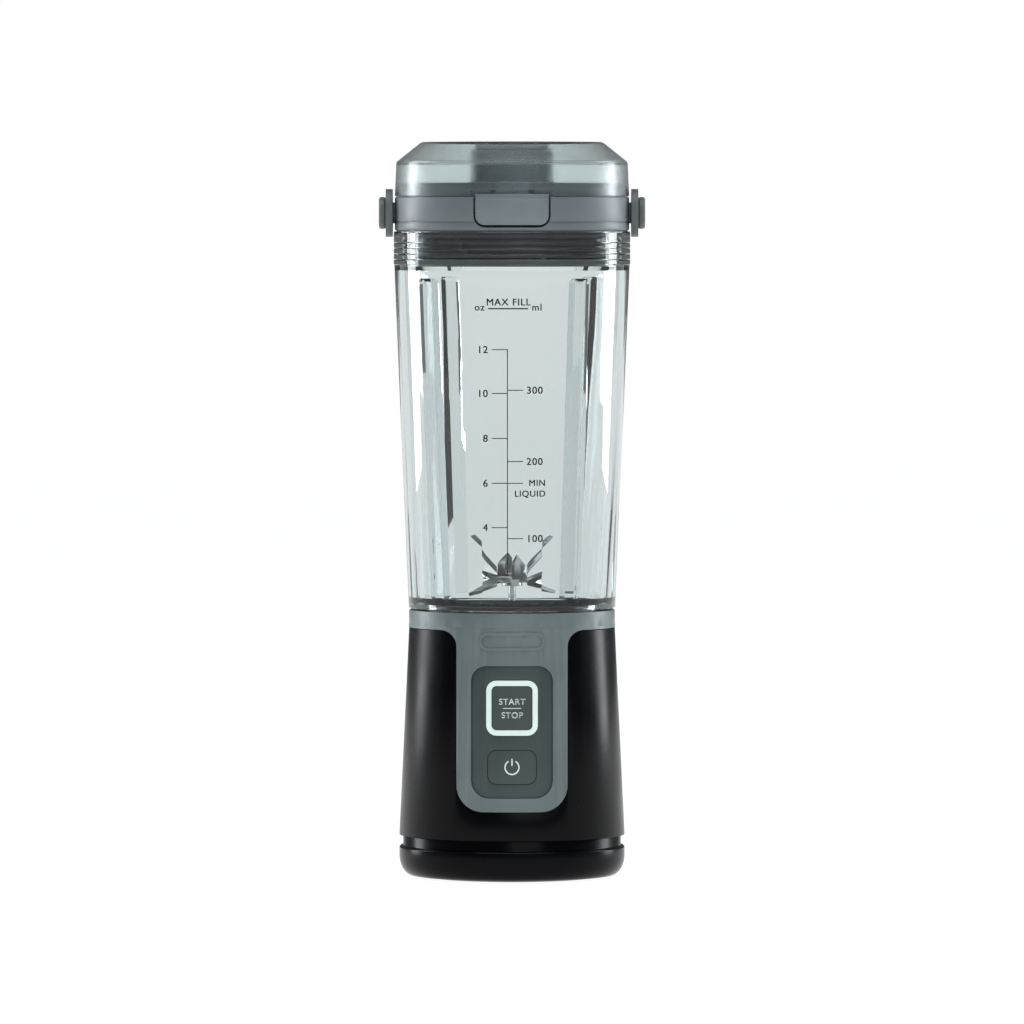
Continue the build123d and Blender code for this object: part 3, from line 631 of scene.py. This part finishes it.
def lettering(name, words, x, z, height, align="CENTER"):
    """Words as a thin, slightly bold solid that faces the front; x and z place the baseline's anchor."""
    deselect()
    bpy.ops.object.text_add(rotation=(math.pi / 2, 0, 0))
    piece = bpy.context.active_object
    piece.data.body = words
    piece.data.size = height / 0.69 * MM
    piece.data.align_x = align
    piece.data.space_character = 1.12
    piece.data.extrude = INK * MM
    piece.data.resolution_u = 6
    use(piece)
    bpy.ops.object.convert(target="MESH")
    piece = bpy.context.active_object
    piece.name = name
    piece.data.name = name
    piece.location = (x * MM, 0, z * MM)
    settle(piece)
    for shift in ((0.13 * MM, 0, 0), (0, 0, 0.07 * MM)):
        applied(piece, "ARRAY", count=2, use_relative_offset=False, use_constant_offset=True,
                constant_offset_displace=shift)
    return piece


def stroke(low_x, high_x, low_z, high_z, cuts=5):
    """A printed line as a thin solid, divided so that it can follow a curve."""
    piece = box_piece("stroke", (low_x, -INK, low_z), (high_x, INK, high_z))
    edit(piece)
    bpy.ops.mesh.subdivide(number_cuts=cuts)
    bpy.ops.object.mode_set(mode="OBJECT")
    return piece


class BLENDER_OT_vessel_print(bpy.types.Operator):
    """Prints the volume scale on the front of the vessel"""

    bl_idname = "blender_parts.vessel_print"
    bl_label = "Vessel Print"

    def execute(self, context):
        tall, stem, half_line = sizes().letter / MM, -1.7, 0.17
        left_end, right_end = -7.5, 4.1
        ounces = {12: 198.7, 10: 182.4, 8: 165.7, 6: 149.0, 4: 132.5, 2: 114.6}
        millilitres = {300: 183.6, 200: 157.1, 100: 128.4}
        marks = [stroke(stem - half_line, stem + half_line, ounces[2], 198.9, 1),
                 stroke(-8.9, 6.0, 213.65, 214.15)]
        for volume, level in ounces.items():
            marks.append(stroke(left_end, stem, level - half_line, level + half_line))
            marks.append(lettering("number", str(volume), left_end - 1.5, level - tall / 2, tall, "RIGHT"))
        for volume, level in millilitres.items():
            marks.append(stroke(stem, right_end, level - half_line, level + half_line))
            marks.append(lettering("number", str(volume), right_end + 1.2, level - tall / 2, tall, "LEFT"))
        marks.append(stroke(stem, right_end, ounces[6] - half_line, ounces[6] + half_line))
        marks.append(lettering("word", "MAX FILL", -1.4, 215.1, tall * 0.96))
        marks.append(lettering("word", "oz", -14.0, 213.2, tall * 0.96, "LEFT"))
        marks.append(lettering("word", "ml", 7.3, 213.2, tall * 0.96, "LEFT"))
        marks.append(lettering("word", "MIN", 12.4, 148.0, tall * 0.86, "RIGHT"))
        marks.append(lettering("word", "LIQUID", 12.4, 144.0, tall * 0.86, "RIGHT"))
        scale = wrapped(joined("vessel_scale", marks), vessel_radius, 0.03)
        ink = finish_named("print_black", moulded, tuple(colours().print_ink), 0.55, relief=0.05)
        finished(scale, "vessel", ink, None)
        return {"FINISHED"}


class BLENDER_OT_button_print(bpy.types.Operator):
    """Prints the words on the start button and the power sign on the power button"""

    bl_idname = "blender_parts.button_print"
    bl_label = "Button Print"

    def execute(self, context):
        ink = finish_named("print_white", moulded, tuple(colours().key_ink), 0.5, relief=0.05)
        marks = [lettering("word", "START", 0, 66.6, 2.15),
                 stroke(-3.4, 3.4, 65.1, 65.35),
                 lettering("word", "STOP", 0, 61.6, 2.15)]
        legend = wrapped(joined("start_legend", marks), shell_radius, 0.03)
        finished(legend, "start_button", ink, None)
        inner, outer = 2.35, 2.85
        sign = traced("power_sign", [(inner, -INK, POWER_LEVEL), (outer, -INK, POWER_LEVEL),
                                     (outer, INK, POWER_LEVEL), (inner, INK, POWER_LEVEL)])
        bpy.ops.mesh.select_all(action="SELECT")
        bpy.ops.mesh.spin(steps=48, angle=math.radians(300), center=(0, 0, POWER_LEVEL * MM), axis=(0, 1, 0))
        bpy.ops.mesh.select_all(action="DESELECT")
        bpy.ops.mesh.select_non_manifold()
        bpy.ops.mesh.fill_holes(sides=0)
        close_edit()
        use(sign)
        sign.location = (0, 0, -POWER_LEVEL * MM)
        settle(sign)
        sign.rotation_euler = (0, math.radians(-120), 0)
        settle(sign)
        sign.location = (0, 0, POWER_LEVEL * MM)
        settle(sign)
        bar = stroke(-0.25, 0.25, POWER_LEVEL + 0.6, POWER_LEVEL + 3.2)
        sign = wrapped(joined("power_sign", [sign, bar]), shell_radius, -0.07)
        finished(sign, "power_button", ink, None)
        return {"FINISHED"}


# ---- Lid ----------------------------------------------------------------------------------------
def upright(name, width, depth, place, radius, low, high):
    """A rounded-rectangle prism that stands along Z, its middle at a place along Y."""
    half = width / 2
    points = [(-half, -place - depth / 2), (half, -place - depth / 2),
              (half, -place + depth / 2), (-half, -place + depth / 2)]
    piece = prism(name, points, [radius] * 4, low, high, 10)
    piece.rotation_euler = (math.pi / 2, 0, 0)
    settle(piece)
    return piece


def rounded_copy(name, node, width, segments, angle=30):
    """A merged copy of a CAD node with its sharp edges rounded."""
    piece = bpy.data.objects.new(name, frame["nodes"][node].data.copy())
    bpy.context.scene.collection.objects.link(piece)
    piece.data.name = name
    edit(piece)
    bpy.ops.mesh.remove_doubles(threshold=MERGE)
    bpy.ops.mesh.dissolve_limited(angle_limit=math.radians(0.5))
    bpy.ops.object.mode_set(mode="OBJECT")
    applied(piece, "BEVEL", width=width * MM, segments=segments, limit_method="ANGLE",
            angle_limit=math.radians(angle), use_clamp_overlap=True)
    use(piece)
    bpy.ops.object.shade_smooth_by_angle(angle=math.radians(angle))
    return piece


class BLENDER_OT_lid(bpy.types.Operator):
    """Makes the lid: rim, deck, latch pocket, spout, hinge ears, handle pivots, skirt and wall, with the
    skirt coloured dark as painted shade and dark rings of painted shade in the gaps
    """

    bl_idname = "blender_parts.lid"
    bl_label = "Lid"

    def execute(self, context):
        outline = [(38.4, 242.8), (43.6, 242.8), (43.9, 243.1), (44, 243.4), (44, 245.6), (43.7, 245.8),
                   (43.7, 246.2), (44, 246.4), (44, 254.9), (43.85, 255.25), (43.5, 255.4), (40.6, 255.4),
                   (40.6, 254.4), (0, 254.4), (0, 251.8), (38.4, 251.8)]
        lid = spun("lid_moulding", outline)
        add(lid, box_piece("pocket_wall", (-15.8, -40.6, 244.0), (15.8, -35.6, 254.3)))
        cut(lid, window("pocket", 28.7, 244.0, 258.0, 0, 4.4, -37.2, -46.0))
        spout = upright("spout", 30.0, 17.0, SPOUT_Y, 7.0, 253.0, 271.5)
        soften(spout, 0.7, 3)
        add(lid, spout)
        cut(lid, upright("spout_hole", 25.6, 12.6, SPOUT_Y, 5.0, 250.0, 273.0))
        for side in (-1, 1):
            near, far = sorted((side * 8.7, side * 13.7))
            add(lid, box_piece("hinge_post", (near, 39.9, 252.0), (far, 44.0, HINGE_LEVEL)))
            add(lid, rod("hinge_ear", HINGE_RADIUS, HINGE_Y, HINGE_LEVEL, near, far))
            near, far = sorted((side * 41.5, side * 47.0))
            add(lid, rod("pivot_boss", 3.9, 0, PIVOT_LEVEL, near, far))
        cut(lid, box_piece("knuckle_notch", (-8.7, 38.6, 254.6), (8.7, 48.0, 262.0)))
        cut(lid, rod("pin_hole", HINGE_HOLE, HINGE_Y, HINGE_LEVEL, -20, 20, 32))
        soften(lid, sizes().edge / MM * 0.6, 2, 38)
        finished(lid, "lid", grey_plastic(), "lid_grey", "lid_base")
        sleeve = [(38.4, 230), (39.5, 230), (39.5, 232.4)]
        swell = [a * 0.2 * math.pi for a in range(6)]
        for step in range(4):
            low = 232.5 + step * 2.5
            sleeve += [(40.1 + 0.9 * math.sin(a), low + 1.1 * (1 - math.cos(a))) for a in swell]
        sleeve += [(40.3, 242.7), (38.4, 242.78)]
        skirt = soften(spun("lid_skirt", sleeve), 0)
        wall = [(39.9, 254.3), (40.9, 254.3), (40.9, 260.4), (40.6, 260.8), (40.2, 260.8), (39.9, 260.5)]
        weir = spun("sealing_wall", wall)
        cut(weir, box_piece("tongue_room", (-8, -50, 253), (8, -30, 262)))
        finished(soften(weir, 0.15), "lid", grey_plastic(), "lid_grey")
        # Painted shade: the skirt is the lid's grey plastic, coloured near black here for the shade inside
        # the vessel's rim.
        dark = finish_named("skirt_dark", moulded, (0.075, 0.078, 0.088), 0.26, relief=0.02)
        finished(skirt, "lid", dark, "seal_silicone")
        # Painted shade: thin dark rings sit in the gaps below and above the lid's rim, where only shade
        # falls.
        shade_rings = [spun("gap_shade_ring", [(42.2, low), (43.4, low), (43.4, low + 0.26), (42.2, low + 0.26)])
                 for low in (242.54, 255.37)]
        for space in (box_piece("latch_room", (-15, -50, 255), (15, -30, 257)),
                      box_piece("hinge_room", (-9, 30, 255), (9, 50, 257))):
            cut(shade_rings[1], space)
        finished(joined("gap_shade_rings", shade_rings), "lid", dark, "seal_silicone")
        return {"FINISHED"}


class BLENDER_OT_vessel_thread(bpy.types.Operator):
    """Winds the thread ridge round the vessel's foot, inside the base's collar"""

    bl_idname = "blender_parts.vessel_thread"
    bl_label = "Vessel Thread"

    def execute(self, context):
        root = 35.6
        crest = root + sizes().thread / MM * 0.4
        profile = [(root, 93.6), (crest, 93.9), (crest, 94.5), (root, 94.8)]
        thread = ridge("vessel_foot_thread", profile, 1.0, 3.2)
        finished(thread, "vessel", FINISHES["vessel_clear"], "vessel_clear")
        return {"FINISHED"}


class BLENDER_OT_sip_cover(bpy.types.Operator):
    """Makes the smoky cover over the spout, with its knuckle, its catch and its seal plug"""

    bl_idname = "blender_parts.sip_cover"
    bl_label = "Sip Cover"

    def execute(self, context):
        outline = [(42, 255.7), (43.8, 255.7), (44, 255.9), (43.45, 268.2), (43.0, 268.85), (34.5, 275.6),
                   (33.6, 276), (0, 276), (0, 274), (33.2, 274), (41.0, 268.0), (41.5, 267.2)]
        cover = spun("cover_moulding", outline)
        cut(cover, window("front_notch", 30.4, 250, 258, 0.8, 0, -30, -50))
        cut(cover, box_piece("rear_notch", (-14.4, 38.5, 250), (14.4, 50, 261.5)))
        add(cover, box_piece("knuckle_web", (-8.4, 40.2, HINGE_LEVEL), (8.4, 42.6, 262.5)))
        add(cover, rod("knuckle", HINGE_RADIUS, HINGE_Y, HINGE_LEVEL, -8.4, 8.4))
        add(cover, box_piece("catch", (-8, -42.4, 259.2), (8, -41.1, 260.4)))
        lip = spun("notch_lip", [(43.0, 258.0), (44.0, 258.0), (44.25, 258.3), (44.2, 260.6),
                                 (43.9, 260.9), (43.0, 260.9)])
        keep(lip, window("lip_outline", 31.2, 257, 262, 0, 0))
        add(cover, lip)
        cut(cover, rod("pin_hole", HINGE_HOLE, HINGE_Y, HINGE_LEVEL, -20, 20, 32))
        soften(cover, 0.12, 2, 38)
        use(cover)
        bpy.ops.object.shade_smooth_by_angle(angle=math.radians(16))
        smoke = finish_named("cover_smoke", clear, tuple(colours().cover), 0.24, 1.45, 0.05)
        finished(cover, "sip_cover", smoke, "cover_smoke", "sip_cover")
        plug = upright("spout_plug_moulding", 27.0, 14.0, SPOUT_Y, 5.5, 271.8, 273.95)
        cut(plug, upright("plug_dish", 21.0, 8.0, SPOUT_Y, 3.0, 270.0, 272.7))
        soften(plug, 0.4, 3)
        soft = finish_named("plug_silicone", moulded, (0.30, 0.32, 0.32), 0.55, relief=0.1, spec=0.3)
        finished(plug, "sip_cover", soft, "plug_silicone", "spout_plug")
        return {"FINISHED"}


class BLENDER_OT_latch(bpy.types.Operator):
    """Makes the rocking latch at the front of the lid, with its bevelled finger edge"""

    bl_idname = "blender_parts.latch"
    bl_label = "Latch"

    def execute(self, context):
        latch = spun("latch_moulding", [(41.9, 244), (44.1, 244), (44.1, 254.3), (43.5, 255.0),
                                        (43.4, 256.4), (43.2, 256.5), (41.9, 256.5)])
        keep(latch, window("latch_outline", 27.2, 244.95, 256.6, 0, 3.4))
        add(latch, box_piece("tongue", (-6, -40.8, 252.0), (6, -39.6, 261.0)))
        add(latch, box_piece("tongue_root", (-6, -42.6, 252.0), (6, -40.0, 254.0)))
        for side in (-1, 1):
            near, far = sorted((side * 8.0, side * 10.5))
            add(latch, box_piece("latch_ear", (near, -42.4, 248.3), (far, -38.0, 252.1)))
        cut(latch, rod("pin_hole", LATCH_HOLE, LATCH_PIN_Y, LATCH_PIN_LEVEL, -16, 16, 32))
        soften(latch, 0.25, 2, 38)
        grey = finish_named("latch_grey", moulded, tuple(colours().latch), 0.34, relief=0.08)
        finished(latch, "latch", grey, "latch_grey", "latch")
        return {"FINISHED"}


class BLENDER_OT_carry_handle(bpy.types.Operator):
    """Rounds the swinging carry handle and its two pivot caps"""

    bl_idname = "blender_parts.carry_handle"
    bl_label = "Carry Handle"

    def execute(self, context):
        grey = finish_named("handle_grey", moulded, tuple(colours().handle), 0.4, relief=0.12)
        handle = rounded_copy("handle_moulding", "carry_handle", 1.0, 4)
        finished(handle, "handle", grey, "handle_grey", "carry_handle")
        caps = rounded_copy("pivot_cap_discs", "handle_caps", 0.8, 4)
        finished(caps, "handle", grey, "handle_grey", "handle_caps")
        return {"FINISHED"}


# ---- Blades and the parts inside ----------------------------------------------------------------
class BLENDER_OT_blades(bpy.types.Operator):
    """Puts ground edges on the blades and finishes the platform that carries them"""

    bl_idname = "blender_parts.blades"
    bl_label = "Blades"

    def execute(self, context):
        steel = finish_named("blade_steel", metal, (0.60, 0.61, 0.62), 0.2, (1, 1, 30), 260)
        for name, node in (("lower_blade_ground", "lower_blade"), ("upper_blade_ground", "upper_blade"),
                           ("blade_hub_turned", "blade_hub"), ("blade_nut_turned", "blade_nut")):
            piece = rounded_copy(name, node, 0.12, 1, 40)
            finished(piece, "drive_train", steel, "blade_steel", node)
        platform = rounded_copy("platform_moulding", "blade_platform", 0.35, 2, 40)
        grey = finish_named("platform_grey", moulded, (0.035, 0.042, 0.044), 0.34, relief=0.1)
        finished(platform, "base", grey, "platform_grey", "blade_platform")
        return {"FINISHED"}


class BLENDER_OT_inner_parts(bpy.types.Operator):
    """Gives every part that stays as it was drawn a finish of its own kind"""

    bl_idname = "blender_parts.inner_parts"
    bl_label = "Inner Parts"

    def execute(self, context):
        finishes = {
            "pad_rubber": lambda n: moulded(n, (0.022, 0.022, 0.024), 0.75, 900, 0.4, spec=0.25),
            "chassis_nylon": lambda n: moulded(n, (0.055, 0.058, 0.060), 0.55, 1400, 0.2),
            "motor_steel": lambda n: metal(n, (0.42, 0.42, 0.41), 0.32, (1, 1, 26)),
            "magnet": lambda n: moulded(n, (0.05, 0.05, 0.055), 0.5, 2400, 0.35),
            "rotor_iron": lambda n: metal(n, (0.36, 0.24, 0.15), 0.42, (30, 30, 1), 300),
            "bearing_steel": lambda n: metal(n, (0.56, 0.56, 0.57), 0.16, (1, 1, 12), 400),
            "seal_silicone": lambda n: moulded(n, (0.16, 0.17, 0.17), 0.6, 1500, 0.15, spec=0.3),
            "cell_wrap": lambda n: moulded(n, (0.03, 0.16, 0.11), 0.32, 700, 0.08, coat=0.3),
            "nickel": lambda n: metal(n, (0.66, 0.63, 0.56), 0.28, (30, 1, 1), 260),
            "board_green": lambda n: moulded(n, (0.012, 0.085, 0.035), 0.35, 500, 0.12, coat=0.4),
            "component": lambda n: moulded(n, (0.02, 0.02, 0.02), 0.45, 2200, 0.2),
            "led": lambda n: glowing(n, (0.92, 0.95, 0.90), 0.4),
            "socket_steel": lambda n: metal(n, (0.55, 0.55, 0.54), 0.24, (20, 1, 1), 300),
            "screw_steel": lambda n: metal(n, (0.38, 0.38, 0.39), 0.3, (8, 8, 20), 500),
            "wire_red": lambda n: moulded(n, (0.42, 0.015, 0.012), 0.42, 900, 0.1),
        }
        dark = finish_named("pin_black", metal, (0.05, 0.05, 0.055), 0.4, (20, 1, 1))
        for part in frame["record"]["subparts"]:
            node, slot = part["node"], part["material_slot"]
            if slot in finishes:
                finish = dark if node == "latch_pin" else finish_named(slot, finishes[slot])
                cad = frame["nodes"][node]
                cad.data.materials.clear()
                cad.data.materials.append(finish)
        return {"FINISHED"}


# ---- Stage --------------------------------------------------------------------------------------
def softbox(name, place, aim, width, height, power):
    """A soft rectangular light aimed at a point, in metres."""
    deselect()
    bpy.ops.object.light_add(type="AREA", location=place)
    lamp = bpy.context.active_object
    lamp.name = name
    lamp.data.shape = "RECTANGLE"
    lamp.data.size = width
    lamp.data.size_y = height
    lamp.data.energy = power
    lamp.data.color = (0.93, 0.965, 1.0)
    lamp.rotation_euler = (Vector(aim) - Vector(place)).to_track_quat("-Z", "Y").to_euler()
    return lamp


class BLENDER_OT_stage(bpy.types.Operator):
    """Sets the pale floor, the soft studio light, the surroundings and the camera"""

    bl_idname = "blender_parts.stage"
    bl_label = "Stage"

    def execute(self, context):
        scene = bpy.context.scene
        scene.view_settings.view_transform = "Standard"
        deselect()
        just_below = (0, 0, -0.0001)
        bpy.ops.mesh.primitive_grid_add(x_subdivisions=8, y_subdivisions=8, size=12, location=just_below)
        floor = bpy.context.active_object
        floor.name = "studio_floor"
        paper = moulded("floor_white", (0.12, 0.12, 0.12), 0.8, 60, 0.02, spec=0.1, vary=0.01)
        surface = paper.node_tree.nodes["Principled BSDF"]
        surface.inputs["Emission Color"].default_value = (1, 1, 1, 1)
        surface.inputs["Emission Strength"].default_value = 0.94
        floor.data.materials.append(paper)
        world = bpy.data.worlds.new("studio_surroundings")
        scene.world = world
        world.use_nodes = True
        nodes, links = world.node_tree.nodes, world.node_tree.links
        reflected, scattered_more = 0.17, 0.28
        path = nodes.new("ShaderNodeLightPath")
        bounced = nodes.new("ShaderNodeMath")
        bounced.operation = "ADD"
        bounced.use_clamp = True
        links.new(path.outputs["Glossy Depth"], bounced.inputs[0])
        links.new(path.outputs["Diffuse Depth"], bounced.inputs[1])
        fill = nodes.new("ShaderNodeMath")
        fill.operation = "MULTIPLY_ADD"
        fill.inputs[1].default_value = scattered_more
        fill.inputs[2].default_value = reflected
        scattered = nodes.new("ShaderNodeMath")
        scattered.operation = "MINIMUM"
        scattered.inputs[1].default_value = 1.0
        links.new(path.outputs["Diffuse Depth"], scattered.inputs[0])
        links.new(scattered.outputs["Value"], fill.inputs[0])
        dim = nodes["Background"]
        bright = nodes.new("ShaderNodeBackground")
        mix = nodes.new("ShaderNodeMixShader")
        dim.inputs["Color"].default_value = (0.92, 0.95, 0.97, 1)
        links.new(fill.outputs["Value"], dim.inputs["Strength"])
        bright.inputs["Color"].default_value = (1, 1, 1, 1)
        bright.inputs["Strength"].default_value = 1.0
        links.new(bounced.outputs["Value"], mix.inputs["Fac"])
        links.new(bright.outputs["Background"], mix.inputs[1])
        links.new(dim.outputs["Background"], mix.inputs[2])
        links.new(mix.outputs["Shader"], nodes["World Output"].inputs["Surface"])
        middle = (0, 0, 0.14)
        for side, name in ((-1, "left_softbox"), (1, "right_softbox")):
            softbox(name, (side * 1.8, 0.88, 0.45), middle, 0.5, 2.0, 31)
        softbox("top_softbox", (0, -0.3, 1.7), (0, 0, 0.2), 1.4, 1.4, 12)
        softbox("front_fill", (0.6, -2.4, 1.2), middle, 1.6, 1.2, 9)
        bpy.ops.object.camera_add(location=(0, -3.4, 0.25))
        camera = bpy.context.active_object
        camera.name = "front_camera"
        view = Vector((0, 0, 0.137)) - camera.location
        camera.rotation_euler = view.to_track_quat("-Z", "Y").to_euler()
        camera.data.sensor_width = 36
        camera.data.lens = 318
        scene.camera = camera
        return {"FINISHED"}


# ---- Panel and registration ---------------------------------------------------------------------
MAKERS = (BLENDER_OT_body_shell, BLENDER_OT_foot, BLENDER_OT_fascia, BLENDER_OT_control_panel,
          BLENDER_OT_vessel, BLENDER_OT_vessel_print, BLENDER_OT_button_print, BLENDER_OT_lid,
          BLENDER_OT_vessel_thread, BLENDER_OT_sip_cover, BLENDER_OT_latch, BLENDER_OT_carry_handle,
          BLENDER_OT_blades, BLENDER_OT_inner_parts, BLENDER_OT_stage)


class BLENDER_PT_parts(bpy.types.Panel):
    """Lists the sizes, the colours and the operators that build the blender"""

    bl_label = "Blender Parts"
    bl_idname = "BLENDER_PT_parts"
    bl_space_type = "VIEW_3D"
    bl_region_type = "UI"
    bl_category = "Blender Parts"

    def draw(self, context):
        for group in (colours(), sizes()):
            for name in group.__annotations__:
                self.layout.prop(group, name)
        for maker in MAKERS:
            self.layout.operator(maker.bl_idname)


CLASSES = (BlenderColours, BlenderSizes) + MAKERS + (BLENDER_PT_parts,)


def register():
    """Registers the classes and hangs the settings on the scene."""
    for item in CLASSES:
        bpy.utils.register_class(item)
    bpy.types.Scene.blender_colours = bpy.props.PointerProperty(type=BlenderColours)
    bpy.types.Scene.blender_sizes = bpy.props.PointerProperty(type=BlenderSizes)


def unregister():
    """Takes the settings and the classes away again."""
    del bpy.types.Scene.blender_sizes
    del bpy.types.Scene.blender_colours
    for item in reversed(CLASSES):
        bpy.utils.unregister_class(item)


def main():
    """Builds every piece in order."""
    register()
    for maker in MAKERS:
        family, name = maker.bl_idname.split(".")
        getattr(getattr(bpy.ops, family), name)()


if __name__ == "__main__":
    main()
